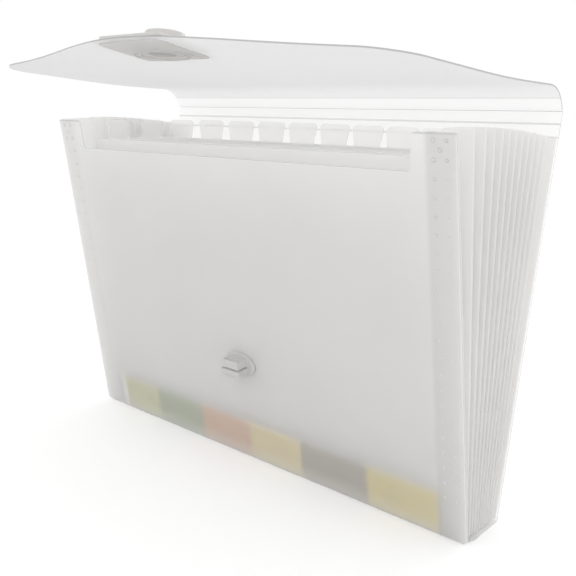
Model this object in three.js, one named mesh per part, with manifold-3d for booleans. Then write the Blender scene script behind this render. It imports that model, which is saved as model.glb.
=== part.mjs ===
// Expanding file folder in frosted polypropylene, standing open with its pockets fanned out.
// Millimetres. X runs to the right, Y to the back and Z up.
// The origin is the middle of the underside of the folded bottom.
import * as THREE from "three";
import { mergeVertices } from "three/addons/utils/BufferGeometryUtils.js";
import Module from "manifold-3d";

const DEG = Math.PI / 180;

// Booleans: how far a cutter reaches either way, how far moulded forms sink into each other
// and how close two points are taken as one
const CUT_REACH = 7;
const SINK = 0.2;
const MERGE_DISTANCE = 1e-4;

// Sheets
const COVER_THICKNESS = 0.8;
const FILM_THICKNESS = 0.3;
const DIVIDER_THICKNESS = 0.4;
const CARD_THICKNESS = 0.5;
const GAP = 0.3;

// Cover: one sheet folded twice at the bottom
const FRONT_WIDTH = 330;
const BACK_WIDTH = FRONT_WIDTH - 4;
const BASE_DEPTH = 36.6;
const FRONT_HEIGHT = 222.4;
const FRONT_LEAN = 8.6 * DEG;
const BACK_HEIGHT = FRONT_HEIGHT - 3;
const BACK_LEAN = 10.3 * DEG;
const FOLD_RADIUS = 1.4;
const FOLD_STEPS = 4;
const CORNER_CHAMFER = 2.4;

// Front panel's ears and the notch between them
const EAR_WIDTH = 25.8;
const NOTCH_DEPTH = 19.1;
const EAR_CORNER_RADIUS = 3;
const NOTCH_FILLET = 2.4;

// Scored strip above the back panel, which ends at the flap's hinge line
const SCORE_SPACING = 7.4;
const SCORE_LINES = 2;
const SCORE_WIDTH = 1.0;
const SCORE_DEPTH = 0.35;
const HINGE_GAP = 0.2;
const HINGE_BEVEL = 0.5;

// Flap: bends forward from the hinge line, runs nearly level and curls up a little
const FLAP_CREASE = 69 * DEG;
const FLAP_LEVEL = 2.2 * DEG;
const FLAP_BEND_LENGTH = 26;
const FLAP_RISE = 3.1 * DEG;
const FLAP_RISE_START = 40;
const FLAP_RISE_LENGTH = 60;
const FLAP_LENGTH = 164.5;
const TONGUE_LENGTH = 17.6;
const TONGUE_HALF_WIDTH = BACK_WIDTH / 2 - 26;
const FLAP_CORNER_RADIUS = 21.5;
const FLAP_BOW = 6.7;
const FLAP_BOW_START = 50;
const FLAP_COLUMNS = 40;
const FLAP_ROWS = 26;
const FLAP_CORNER_COLUMNS = 6;
const FLAP_STEP = 0.25;
const FLAP_SPARE = 2;

// Pockets and the fan that they open into
const POCKETS = 13;
const SPREAD_FACTOR = 1.7;
const SPREAD_POCKETS_COUNT = 1.7;

// Gussets: film pleated once for each pocket
const PLEAT_REACH = 17;
const VALLEY_X = FRONT_WIDTH / 2 - PLEAT_REACH;
const PLEAT_PANEL = 0.8 * PLEAT_REACH;
const PLEAT_HALF_FLAT = 0.4;
const GUSSET_FRONT_EDGE = FRONT_WIDTH / 2 - 0.6;
const GUSSET_BACK_EDGE = BACK_WIDTH / 2 - 0.8;
const GUSSET_FRONT_HEIGHT = FRONT_HEIGHT + 0.8;
const GUSSET_BACK_HEIGHT = BACK_HEIGHT - 0.2;
const GUSSET_LEVELS = 3;

// Dividers and their tabs
const DIVIDER_HALF_WIDTH = VALLEY_X - 2 * GAP;
const DIVIDER_HEIGHT = FRONT_HEIGHT - 13.8;
const DIVIDER_CORNER_RADIUS = 3;
const TAB_PITCH = 21;
const TAB_HEIGHT = 12.9;
const TAB_SLIT = 1.2;
const TAB_SIDE_SLANT = 1.3;
const TAB_CORNER_RADIUS = 2.6;
const TAB_FILLET = 0.8;

// Stud on the front panel
const STUD_HEIGHT_UP_PANEL = 69.5;
const STUD_FLANGE = { width: 27, height: 16, thickness: 1.4, bevel: 0.4 };
const STUD_POST = { width: 16.5, height: 9.6, length: 9.4, endRounding: 28.8 };
const STUD_SLOT = { height: 1.7, depth: 8.2 };
const STUD_LIP = { reach: 0.8, length: 2.2 };
const STUD_NECK_RADIUS = 3;
const STUD_RIVET = { radius: 4.6, thickness: 0.8 };
const WASHER = { width: 24, height: 14, thickness: 1 };

// Clasp on the flap's tongue
const CLASP_PLACE = 153.8;
const CLASP_PLATE = { width: 54, height: 24, thickness: 1.6, corner: 3 };
const CLASP_OPENING = { width: 20, height: 12.6 };
const CLASP_COLLAR_WALL = 2.2;
const CLASP_OUTER_RIDGE = { width: 45, height: 20.6, wall: 1.3, rise: 0.9 };
const CLASP_INNER_RIDGE = { width: 36, height: 17.6, wall: 1.2, rise: 1.3 };
const CLASP_CAP = { width: 50, height: 21, thickness: 1.3, bevel: 0.5 };
const CLASP_CAP_RIM = { width: 31, height: 19.2, rise: 3.1, bevel: 0.8 };

// Coloured label card in the first pocket
const CARD = { left: 7 - VALLEY_X, right: VALLEY_X - 1, height: 25.4 };

const OVAL_STEPS = 28;
const CORNER_STEPS = 4;

const COLOURS = {
  frosted: { color: 0xe6e7e5, roughness: 0.55, metalness: 0 },
  film: { color: 0xe2e1dc, roughness: 0.5, metalness: 0 },
  divider: { color: 0xebecea, roughness: 0.5, metalness: 0 },
  moulded: { color: 0xc9cac8, roughness: 0.35, metalness: 0 },
  card: { color: 0xb9a94a, roughness: 0.8, metalness: 0 },
};

const wasm = await Module();
wasm.setup();

// Solids

function solidFrom(geometry) {
  const bare = geometry.clone();
  bare.deleteAttribute("normal");
  bare.deleteAttribute("uv");
  const merged = mergeVertices(bare, MERGE_DISTANCE);
  return new wasm.Manifold(
    new wasm.Mesh({
      numProp: 3,
      vertProperties: new Float32Array(merged.attributes.position.array),
      triVerts: new Uint32Array(merged.index.array),
    }),
  );
}

function geometryFrom(solid) {
  const mesh = solid.getMesh();
  const geometry = new THREE.BufferGeometry();
  geometry.setAttribute("position", new THREE.BufferAttribute(mesh.vertProperties, 3));
  geometry.setIndex(new THREE.BufferAttribute(mesh.triVerts, 1));
  geometry.computeVertexNormals();
  return geometry;
}

function named(name, shape, look) {
  const geometry = shape.isBufferGeometry ? shape : geometryFrom(shape);
  const mesh = new THREE.Mesh(geometry, new THREE.MeshStandardMaterial(COLOURS[look]));
  mesh.name = name;
  return mesh;
}

// Outlines

function polygon(points) {
  return new THREE.Shape(points.map(([x, y]) => new THREE.Vector2(x, y)));
}

// A rounded corner from one straight side to the next, as points on an arc.
function cornerArc(corner, before, after, radius, steps) {
  const toBefore = new THREE.Vector2().subVectors(before, corner).normalize();
  const toAfter = new THREE.Vector2().subVectors(after, corner).normalize();
  const half = toBefore.angleTo(toAfter) / 2;
  const reach = radius / Math.tan(half);
  const bisector = toBefore.clone().add(toAfter).normalize();
  const centre = corner.clone().addScaledVector(bisector, radius / Math.sin(half));
  const start = corner.clone().addScaledVector(toBefore, reach).sub(centre);
  const end = corner.clone().addScaledVector(toAfter, reach).sub(centre);
  const turn = Math.atan2(start.x * end.y - start.y * end.x, start.dot(end));
  const points = [];
  for (let i = 0; i <= steps; i += 1) {
    points.push(start.clone().rotateAround(new THREE.Vector2(), (turn * i) / steps).add(centre));
  }
  return points;
}

// Corners as [x, y, radius]; a radius of 0 leaves the corner sharp.
function roundedOutline(corners, steps = CORNER_STEPS) {
  const count = corners.length;
  const at = (i) => new THREE.Vector2(...corners[(i + count) % count].slice(0, 2));
  return corners.flatMap(([, , radius], i) =>
    radius > 0 ? cornerArc(at(i), at(i - 1), at(i + 1), radius, steps) : [at(i)],
  );
}

// An ellipse
function oval(width, height) {
  const points = [];
  for (let i = 0; i < OVAL_STEPS; i += 1) {
    const angle = (2 * Math.PI * i) / OVAL_STEPS;
    points.push(new THREE.Vector2((Math.cos(angle) * width) / 2, (Math.sin(angle) * height) / 2));
  }
  return points;
}

function roundedRectangle(width, height, radius) {
  return roundedOutline([
    [-width / 2, -height / 2, radius],
    [width / 2, -height / 2, radius],
    [width / 2, height / 2, radius],
    [-width / 2, height / 2, radius],
  ]);
}

function plate(points, thickness, from = 0) {
  const flat = { depth: thickness, bevelEnabled: false };
  return new THREE.ExtrudeGeometry(new THREE.Shape(points), flat).translate(0, 0, from);
}

// A cutter that goes through a sheet near local z = 0
function throughCut(points) {
  return plate(points, 2 * CUT_REACH, -CUT_REACH);
}

// A round rod along local z
function rod(radius, length, middle = 0) {
  return new THREE.CylinderGeometry(radius, radius, length, OVAL_STEPS)
    .rotateX(Math.PI / 2)
    .translate(0, 0, middle);
}

// A plate with bevelled rims
function cappedPlate(points, thickness, bevel, from = 0) {
  const settings = {
    depth: thickness - 2 * bevel,
    bevelThickness: bevel,
    bevelSize: bevel,
    bevelOffset: -bevel,
    bevelSegments: 2,
  };
  const shape = new THREE.Shape(points);
  return new THREE.ExtrudeGeometry(shape, settings).translate(0, 0, from + bevel);
}

// Moves each point of an open line sideways, to the left of its direction, with mitred corners.
function offsetLine(points, distance) {
  return points.map((point, i) => {
    const into = new THREE.Vector2().subVectors(point, points[Math.max(i - 1, 0)]);
    const out = new THREE.Vector2().subVectors(points[Math.min(i + 1, points.length - 1)], point);
    const first = (into.lengthSq() > 0 ? into : out).clone().normalize();
    const last = (out.lengthSq() > 0 ? out : into).clone().normalize();
    const along = first.clone().add(last).normalize();
    const stretch = distance / along.dot(first);
    return new THREE.Vector2(point.x - along.y * stretch, point.y + along.x * stretch);
  });
}

// Frames: each turns local x, y and z into the directions that a piece is laid out in

const AXIS_X = new THREE.Vector3(1, 0, 0);

function leaningFrame(lean, y, z) {
  const up = new THREE.Vector3(0, Math.sin(lean), Math.cos(lean));
  const out = new THREE.Vector3().crossVectors(AXIS_X, up);
  return new THREE.Matrix4().makeBasis(AXIS_X, up, out).setPosition(0, y, z);
}

const FRONT_FRAME = leaningFrame(-FRONT_LEAN, -BASE_DEPTH / 2, 0);

// Section in the Y and Z plane, drawn out along X
function crossSection(points, width) {
  const turn = new THREE.Matrix4().makeBasis(
    new THREE.Vector3(0, 1, 0),
    new THREE.Vector3(0, 0, 1),
    AXIS_X,
  );
  return plate(points, width, -width / 2).applyMatrix4(turn);
}

// Cover

const backDirection = new THREE.Vector2(Math.sin(BACK_LEAN), Math.cos(BACK_LEAN));
const backInward = new THREE.Vector2(-Math.cos(BACK_LEAN), Math.sin(BACK_LEAN));
const backOuterCorner = new THREE.Vector2(BASE_DEPTH / 2, 0);
const HINGE_HEIGHT = BACK_HEIGHT + SCORE_SPACING * SCORE_LINES;

function backPoint(height, inward = 0) {
  return backOuterCorner
    .clone()
    .addScaledVector(backDirection, height)
    .addScaledVector(backInward, inward);
}

// Outer line of the folded sheet, from the front panel's top to the hinge line
function coverOuterLine() {
  const frontTop = new THREE.Vector2(
    -BASE_DEPTH / 2 - FRONT_HEIGHT * Math.sin(FRONT_LEAN),
    FRONT_HEIGHT * Math.cos(FRONT_LEAN),
  );
  const frontCorner = new THREE.Vector2(-BASE_DEPTH / 2, 0);
  const hingeEnd = backPoint(HINGE_HEIGHT - HINGE_GAP);
  return [
    frontTop,
    ...cornerArc(frontCorner, frontTop, backOuterCorner, FOLD_RADIUS, FOLD_STEPS),
    ...cornerArc(backOuterCorner, frontCorner, hingeEnd, FOLD_RADIUS, FOLD_STEPS),
    hingeEnd,
  ];
}

function coverSection() {
  const outer = coverOuterLine();
  const inner = offsetLine(outer, COVER_THICKNESS);
  inner[inner.length - 1].addScaledVector(backDirection, -HINGE_BEVEL);
  return [...outer, ...inner.reverse()];
}

// Seen from above: full width in front, tapering over the bottom to the narrower back
function coverPlan() {
  const far = FRONT_HEIGHT;
  const front = FRONT_WIDTH / 2;
  const back = BACK_WIDTH / 2;
  const turn = BASE_DEPTH / 2;
  return [
    [-front, -far],
    [front, -far],
    [front, -turn],
    [back, turn],
    [back, far],
    [-back, far],
    [-back, turn],
    [-front, -turn],
  ];
}

function notchCut() {
  const half = FRONT_WIDTH / 2 - EAR_WIDTH;
  const floor = FRONT_HEIGHT - NOTCH_DEPTH;
  const above = FRONT_HEIGHT + CUT_REACH;
  const opening = roundedOutline([
    [-half, floor, NOTCH_FILLET],
    [half, floor, NOTCH_FILLET],
    [half, above, 0],
    [-half, above, 0],
  ]);
  return solidFrom(throughCut(opening).applyMatrix4(FRONT_FRAME));
}

// Rounds the ear's inner top corner: a square less a circle
function earCornerCut(side) {
  const radius = EAR_CORNER_RADIUS;
  const corner = side * (FRONT_WIDTH / 2 - EAR_WIDTH);
  const square = new THREE.BoxGeometry(2 * radius, 2 * radius, 2 * CUT_REACH);
  square.translate(corner, FRONT_HEIGHT, 0);
  const round = rod(radius, 3 * CUT_REACH);
  round.translate(corner + side * radius, FRONT_HEIGHT - radius, 0);
  return solidFrom(square.applyMatrix4(FRONT_FRAME)).subtract(
    solidFrom(round.applyMatrix4(FRONT_FRAME)),
  );
}

function chamferCut(side) {
  const reach = CORNER_CHAMFER * Math.SQRT2;
  const block = new THREE.BoxGeometry(reach, reach, 2 * CUT_REACH)
    .rotateZ(45 * DEG)
    .translate((side * FRONT_WIDTH) / 2, 0, 0);
  return solidFrom(block.applyMatrix4(FRONT_FRAME));
}

function scoreCut(line) {
  const height = BACK_HEIGHT + SCORE_SPACING * line;
  const face = COVER_THICKNESS;
  const groove = [
    backPoint(height - SCORE_WIDTH, face + SCORE_DEPTH),
    backPoint(height, face - SCORE_DEPTH),
    backPoint(height + SCORE_WIDTH, face + SCORE_DEPTH),
  ];
  return solidFrom(crossSection(groove, BACK_WIDTH + CUT_REACH));
}

function studHole() {
  const hole = rod(STUD_NECK_RADIUS + GAP, 2 * CUT_REACH);
  return solidFrom(hole.translate(0, STUD_HEIGHT_UP_PANEL, 0).applyMatrix4(FRONT_FRAME));
}

function cover() {
  let sheet = solidFrom(crossSection(coverSection(), FRONT_WIDTH));
  const plan = polygon(coverPlan()).getPoints();
  sheet = sheet.intersect(solidFrom(plate(plan, 2 * HINGE_HEIGHT, -CUT_REACH)));
  sheet = sheet.subtract(notchCut());
  for (const side of [-1, 1]) {
    sheet = sheet.subtract(earCornerCut(side)).subtract(chamferCut(side));
  }
  for (let line = 0; line < SCORE_LINES; line += 1) {
    sheet = sheet.subtract(scoreCut(line));
  }
  return sheet.subtract(studHole());
}

// Flap

const hingeInner = backPoint(HINGE_HEIGHT, COVER_THICKNESS);

function eased(value) {
  const t = THREE.MathUtils.clamp(value, 0, 1);
  return t * t * (3 - 2 * t);
}

// Angle of the flap's underside above level, at a distance from the hinge line
function flapHeading(distance) {
  const bend = (FLAP_CREASE - FLAP_LEVEL) * (1 - eased(distance / FLAP_BEND_LENGTH));
  const rise = FLAP_RISE * eased((distance - FLAP_RISE_START) / FLAP_RISE_LENGTH);
  return FLAP_LEVEL + bend + rise;
}

function flapProfile() {
  const points = [hingeInner.clone()];
  const end = FLAP_LENGTH + TONGUE_LENGTH + FLAP_SPARE;
  for (let distance = 0; distance < end; distance += FLAP_STEP) {
    const heading = flapHeading(distance + FLAP_STEP / 2);
    const last = points[points.length - 1];
    points.push(
      new THREE.Vector2(
        last.x - Math.cos(heading) * FLAP_STEP,
        last.y + Math.sin(heading) * FLAP_STEP,
      ),
    );
  }
  return points;
}

const FLAP_PROFILE = flapProfile();
const FLAP_HALF_WIDTH = BACK_WIDTH / 2;

function flapPoint(x, distance) {
  const place = distance / FLAP_STEP;
  const index = Math.min(Math.floor(place), FLAP_PROFILE.length - 2);
  const point = FLAP_PROFILE[index].clone().lerp(FLAP_PROFILE[index + 1], place - index);
  const along = Math.max(distance - FLAP_BOW_START, 0) / (FLAP_LENGTH - FLAP_BOW_START);
  const bow = FLAP_BOW * along * along * (1 - (x / FLAP_HALF_WIDTH) ** 2);
  return new THREE.Vector3(x, point.x, point.y + bow);
}

// Unit vector off the underside, towards the upper face
function flapNormal(x, distance) {
  const step = 0.5;
  const along = flapPoint(x, distance + step).sub(flapPoint(x, Math.max(distance - step, 0)));
  const across = flapPoint(x + step, distance).sub(flapPoint(x - step, distance));
  return along.cross(across).normalize();
}

// Distance from the hinge line to the free edge: rounded corners and a wide tongue
function flapEdge(x) {
  const inCorner = Math.max(Math.abs(x) - (FLAP_HALF_WIDTH - FLAP_CORNER_RADIUS), 0);
  const rounding = Math.sqrt(Math.max(FLAP_CORNER_RADIUS ** 2 - inCorner ** 2, 0));
  const across = Math.min(Math.abs(x) / TONGUE_HALF_WIDTH, 1);
  const tongue = (TONGUE_LENGTH * (1 + Math.cos(Math.PI * across))) / 2;
  return FLAP_LENGTH - FLAP_CORNER_RADIUS + rounding + tongue;
}

// Columns of the flap's grid: close together round the corners
function flapColumn(index) {
  const middle = (FLAP_COLUMNS - 2 * FLAP_CORNER_COLUMNS) / 2;
  const fromMiddle = index - FLAP_COLUMNS / 2;
  const straight = FLAP_HALF_WIDTH - FLAP_CORNER_RADIUS;
  if (Math.abs(fromMiddle) <= middle) {
    return (straight * fromMiddle) / middle;
  }
  const turn = ((Math.abs(fromMiddle) - middle) / FLAP_CORNER_COLUMNS) * (Math.PI / 2);
  return Math.sign(fromMiddle) * (straight + FLAP_CORNER_RADIUS * Math.sin(turn));
}

// Rows: half of them in the bend next to the hinge line, where the underside is bevelled
function flapRow(index, edge, side) {
  const bendRows = FLAP_ROWS / 2;
  const bendEnd = FLAP_BEND_LENGTH + FLAP_SPARE;
  const start = HINGE_GAP + side * HINGE_BEVEL;
  if (index <= bendRows) {
    return start + ((bendEnd - start) * index) / bendRows;
  }
  return bendEnd + ((edge - bendEnd) * (index - bendRows)) / (FLAP_ROWS - bendRows);
}

// A sheet as a box of unit size whose corners are carried to their places.
// place takes the column, the row and the side (0 or 1) of each corner.
function placedSheet(columns, rows, place) {
  const sheet = new THREE.BoxGeometry(1, 1, 1, columns, rows, 1);
  const position = sheet.attributes.position;
  for (let i = 0; i < position.count; i += 1) {
    const column = Math.round((position.getX(i) + 0.5) * columns);
    const row = Math.round((position.getY(i) + 0.5) * rows);
    const side = Math.round(position.getZ(i) + 0.5);
    position.setXYZ(i, ...place(column, row, side).toArray());
  }
  matchDiagonals(sheet);
  return sheet;
}

// Cuts the last face's quads along their other diagonal. Both faces of a twisted sheet then have
// the same creases, and the sheet is equally thick all over.
function matchDiagonals(sheet) {
  const lastFace = sheet.groups[sheet.groups.length - 1];
  const index = sheet.index.array;
  for (let i = lastFace.start; i < lastFace.start + lastFace.count; i += 6) {
    const [a, b, d, , c] = index.subarray(i, i + 6);
    index.set([a, b, c, a, c, d], i);
  }
}

function claspFrame() {
  const origin = flapPoint(0, CLASP_PLACE);
  const ahead = flapPoint(0, CLASP_PLACE + FLAP_STEP);
  const along = ahead.sub(flapPoint(0, CLASP_PLACE - FLAP_STEP)).normalize();
  const below = new THREE.Vector3().crossVectors(AXIS_X, along);
  return new THREE.Matrix4().makeBasis(AXIS_X, along, below).setPosition(origin);
}

const CLASP_FRAME = claspFrame();

function flap() {
  const sheet = placedSheet(FLAP_COLUMNS, FLAP_ROWS, (column, row, side) => {
    const x = flapColumn(column);
    const distance = flapRow(row, flapEdge(x), side);
    const thickness = (1 - side) * COVER_THICKNESS;
    return flapPoint(x, distance).addScaledVector(flapNormal(x, distance), thickness);
  });
  const clearance = 2 * (CLASP_COLLAR_WALL + GAP);
  const outline = oval(CLASP_OPENING.width + clearance, CLASP_OPENING.height + clearance);
  const hole = throughCut(outline).applyMatrix4(CLASP_FRAME);
  return solidFrom(sheet).subtract(solidFrom(hole));
}

// Pockets: where each sheet of the fan starts at the bottom and how it leans

const FLOOR = COVER_THICKNESS + GAP;
const FLOOR_BY_FOLDS = FOLD_RADIUS + GAP;

// Share of the mouth that lies in front of a place in the stack (0 to the number of pockets).
// The front pockets hang open wider than those behind.
function mouthShare(place) {
  const most = SPREAD_FACTOR * SPREAD_POCKETS_COUNT;
  const spread = (reach) => most * (1 - Math.exp(-reach / SPREAD_POCKETS_COUNT));
  return (place + spread(place)) / (POCKETS + spread(POCKETS));
}

const FAN_INSET = GAP + FILM_THICKNESS / 2;
const FAN_FRONT_BOTTOM = -BASE_DEPTH / 2 + (COVER_THICKNESS + FAN_INSET) / Math.cos(FRONT_LEAN);
const FAN_BACK_BOTTOM = BASE_DEPTH / 2 - (COVER_THICKNESS + FAN_INSET) / Math.cos(BACK_LEAN);
const FAN_FRONT_TOP = FAN_FRONT_BOTTOM - FRONT_HEIGHT * Math.sin(FRONT_LEAN);
const FAN_BACK_TOP = FAN_BACK_BOTTOM + FRONT_HEIGHT * Math.sin(BACK_LEAN);

function fanBottom(place) {
  return THREE.MathUtils.lerp(FAN_FRONT_BOTTOM, FAN_BACK_BOTTOM, place / POCKETS);
}

function fanLean(place) {
  const top = THREE.MathUtils.lerp(FAN_FRONT_TOP, FAN_BACK_TOP, mouthShare(place));
  return Math.asin((top - fanBottom(place)) / FRONT_HEIGHT);
}

function fanPoint(place, height) {
  const lean = fanLean(place);
  return {
    y: fanBottom(place) + height * Math.sin(lean),
    z: height * Math.cos(lean),
  };
}

// Dividers

function dividerOutline(index) {
  const side = DIVIDER_HALF_WIDTH;
  const dividers = POCKETS - 1;
  const tabLeft = (index - 1 - dividers / 2) * TAB_PITCH + TAB_SLIT / 2;
  const tabRight = tabLeft + TAB_PITCH - TAB_SLIT;
  const bottom = FLOOR / Math.cos(fanLean(index));
  const top = DIVIDER_HEIGHT;
  return roundedOutline([
    [-side, bottom, DIVIDER_CORNER_RADIUS],
    [side, bottom, DIVIDER_CORNER_RADIUS],
    [side, top, DIVIDER_CORNER_RADIUS],
    [tabRight, top, TAB_FILLET],
    [tabRight - TAB_SIDE_SLANT, top + TAB_HEIGHT, TAB_CORNER_RADIUS],
    [tabLeft + TAB_SIDE_SLANT, top + TAB_HEIGHT, TAB_CORNER_RADIUS],
    [tabLeft, top, TAB_FILLET],
    [-side, top, DIVIDER_CORNER_RADIUS],
  ]);
}

function divider(index) {
  const frame = leaningFrame(fanLean(index), fanBottom(index), 0);
  const sheet = plate(dividerOutline(index), DIVIDER_THICKNESS, -DIVIDER_THICKNESS / 2);
  return sheet.applyMatrix4(frame);
}

// Gussets

// Lines that the film is folded along, from front to back: place in the stack, x and a step in y.
// The first and last panels lie flat on the front and back panels, where the film is welded on.
function filmLines() {
  const flat = PLEAT_HALF_FLAT;
  const lines = [
    { place: 0, x: () => VALLEY_X, step: 0 },
    { place: 0, x: () => GUSSET_FRONT_EDGE, step: 0 },
    { place: 0, x: () => GUSSET_FRONT_EDGE, step: 2 * flat },
    { place: 1, x: () => VALLEY_X, step: -flat },
    { place: 1, x: () => VALLEY_X, step: flat },
  ];
  for (let pocket = 2; pocket < POCKETS; pocket += 1) {
    const peak = (height) => peakX(pocket, height);
    lines.push({ place: pocket - 0.5, x: peak, step: -flat });
    lines.push({ place: pocket - 0.5, x: peak, step: flat });
    lines.push({ place: pocket, x: () => VALLEY_X, step: -flat });
    lines.push({ place: pocket, x: () => VALLEY_X, step: flat });
  }
  lines.push({ place: POCKETS, x: () => GUSSET_BACK_EDGE, step: -2 * flat });
  lines.push({ place: POCKETS, x: () => GUSSET_BACK_EDGE, step: 0 });
  lines.push({ place: POCKETS, x: () => VALLEY_X, step: 0 });
  return lines;
}

// The panels keep their width, so a pleat reaches out less where it is spread wider
function peakX(pocket, height) {
  const half = (fanPoint(pocket, height).y - fanPoint(pocket - 1, height).y) / 2;
  return VALLEY_X + Math.sqrt(PLEAT_PANEL ** 2 - half ** 2);
}

const FILM_LINES = filmLines();

function filmHeight(place, level) {
  const top = THREE.MathUtils.lerp(GUSSET_FRONT_HEIGHT, GUSSET_BACK_HEIGHT, place / POCKETS);
  return THREE.MathUtils.lerp(FLOOR_BY_FOLDS, top, level / GUSSET_LEVELS);
}

function filmRow(level, side) {
  const middle = FILM_LINES.map((line) => {
    const height = filmHeight(line.place, level);
    return new THREE.Vector2(line.x(height), fanPoint(line.place, height).y + line.step);
  });
  const faces = offsetLine(middle, (side - 0.5) * FILM_THICKNESS);
  return faces.map((point, i) => {
    const { place } = FILM_LINES[i];
    return new THREE.Vector3(point.x, point.y, fanPoint(place, filmHeight(place, level)).z);
  });
}

function rightGusset() {
  const rows = [];
  for (let level = 0; level <= GUSSET_LEVELS; level += 1) {
    rows.push([filmRow(level, 0), filmRow(level, 1)]);
  }
  return placedSheet(FILM_LINES.length - 1, GUSSET_LEVELS, (column, row, side) => {
    return rows[row][1 - side][column].clone();
  });
}

function leftGusset() {
  const mirrored = rightGusset().scale(-1, 1, 1);
  const index = mirrored.index.array;
  for (let i = 0; i < index.length; i += 3) {
    [index[i + 1], index[i + 2]] = [index[i + 2], index[i + 1]];
  }
  return mirrored;
}

// Stud and its washer

function studPost() {
  const { width, height, length } = STUD_POST;
  const outline = roundedOutline([
    [-height / 2, 0, 0],
    [height / 2, 0, 0],
    [height / 2, length - STUD_LIP.length, 0],
    [height / 2 + STUD_LIP.reach, length - STUD_LIP.length / 2, 0],
    [height / 2 - STUD_LIP.reach, length, 0],
    [-height / 2 + STUD_LIP.reach, length, 0],
    [-height / 2 - STUD_LIP.reach, length - STUD_LIP.length / 2, 0],
    [-height / 2, length - STUD_LIP.length, 0],
  ]);
  const toPost = new THREE.Matrix4().makeBasis(
    new THREE.Vector3(0, 1, 0),
    new THREE.Vector3(0, 0, 1),
    AXIS_X,
  );
  const ends = plate(oval(width, STUD_POST.endRounding), length + 2 * SINK, -SINK);
  const block = solidFrom(plate(outline, width, -width / 2).applyMatrix4(toPost));
  const slot = new THREE.BoxGeometry(2 * width, STUD_SLOT.height, 2 * STUD_SLOT.depth);
  slot.translate(0, 0, length);
  return block.intersect(solidFrom(ends)).subtract(solidFrom(slot));
}

function stud() {
  const { width, height, thickness, bevel } = STUD_FLANGE;
  const back = COVER_THICKNESS + WASHER.thickness + 2 * GAP;
  const front = GAP + thickness - SINK;
  const flange = cappedPlate(oval(width, height), thickness, bevel, GAP);
  const post = studPost().translate([0, 0, front]);
  const neckEnd = -back - SINK;
  const neck = rod(STUD_NECK_RADIUS, front - neckEnd, (front + neckEnd) / 2);
  const rivet = rod(STUD_RIVET.radius, STUD_RIVET.thickness, -back - STUD_RIVET.thickness / 2);
  const whole = solidFrom(flange).add(post).add(solidFrom(neck)).add(solidFrom(rivet));
  return geometryFrom(whole).translate(0, STUD_HEIGHT_UP_PANEL, 0).applyMatrix4(FRONT_FRAME);
}

function studWasher() {
  const behind = -COVER_THICKNESS - GAP - WASHER.thickness;
  const disc = plate(oval(WASHER.width, WASHER.height), WASHER.thickness, behind);
  const hole = rod(STUD_NECK_RADIUS + GAP, 2 * CUT_REACH);
  const ring = solidFrom(disc).subtract(solidFrom(hole));
  return geometryFrom(ring).translate(0, STUD_HEIGHT_UP_PANEL, 0).applyMatrix4(FRONT_FRAME);
}

// Clasp: a plate under the flap, whose collar passes through the flap to the cap on top.
// Local z points away from the underside.

function ovalRing(width, height, wall, thickness, from) {
  const outer = solidFrom(plate(oval(width, height), thickness, from));
  const inner = throughCut(oval(width - 2 * wall, height - 2 * wall));
  return outer.subtract(solidFrom(inner));
}

function claspPlate() {
  const { width, height, thickness, corner } = CLASP_PLATE;
  const opening = solidFrom(throughCut(oval(CLASP_OPENING.width, CLASP_OPENING.height)));
  let whole = solidFrom(plate(roundedRectangle(width, height, corner), thickness, GAP));
  for (const ridge of [CLASP_OUTER_RIDGE, CLASP_INNER_RIDGE]) {
    const top = thickness + ridge.rise;
    whole = whole.add(ovalRing(ridge.width, ridge.height, ridge.wall, top, GAP));
  }
  const walls = 2 * CLASP_COLLAR_WALL;
  const collarOutline = oval(CLASP_OPENING.width + walls, CLASP_OPENING.height + walls);
  const collarEnd = -COVER_THICKNESS - GAP;
  const collar = plate(collarOutline, GAP + SINK - collarEnd, collarEnd);
  whole = whole.add(solidFrom(collar)).subtract(opening);
  return geometryFrom(whole).applyMatrix4(CLASP_FRAME);
}

function claspCap() {
  const { width, height, thickness, bevel } = CLASP_CAP;
  const under = COVER_THICKNESS + 2 * GAP;
  const rim = CLASP_CAP_RIM;
  const base = cappedPlate(oval(width, height), thickness, bevel, -under - thickness);
  const raised = cappedPlate(oval(rim.width, rim.height), rim.rise, rim.bevel, -under - rim.rise);
  const opening = solidFrom(throughCut(oval(CLASP_OPENING.width, CLASP_OPENING.height)));
  const whole = solidFrom(base).add(solidFrom(raised)).subtract(opening);
  return geometryFrom(whole).applyMatrix4(CLASP_FRAME);
}

// Label card, standing against the inside of the front panel

function labelCard() {
  const bottom = FLOOR_BY_FOLDS;
  const outline = polygon([
    [CARD.left, bottom],
    [CARD.right, bottom],
    [CARD.right, bottom + CARD.height],
    [CARD.left, bottom + CARD.height],
  ]);
  const behind = -COVER_THICKNESS - GAP - CARD_THICKNESS;
  return plate(outline.getPoints(), CARD_THICKNESS, behind).applyMatrix4(FRONT_FRAME);
}

// The whole folder

const folder = new THREE.Group();
folder.add(named("cover", cover(), "frosted"));
folder.add(named("gusset_left", leftGusset(), "film"));
folder.add(named("gusset_right", rightGusset(), "film"));
for (let index = 1; index < POCKETS; index += 1) {
  const name = "divider_" + String(index).padStart(2, "0");
  folder.add(named(name, divider(index), "divider"));
}
folder.add(named("label_card", labelCard(), "card"));
folder.add(named("stud", stud(), "moulded"));
folder.add(named("stud_washer", studWasher(), "moulded"));

const coverFlap = new THREE.Group();
coverFlap.add(named("flap", flap(), "frosted"));
coverFlap.add(named("clasp_plate", claspPlate(), "moulded"));
coverFlap.add(named("clasp_cap", claspCap(), "moulded"));
folder.add(coverFlap);

export default folder;
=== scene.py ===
# Expanding file folder in frosted polypropylene, standing open with its pockets fanned out.
# Lengths are written in millimetres and brought to metres by MM.
import math

import bpy
from mathutils import Matrix, Vector


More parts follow.
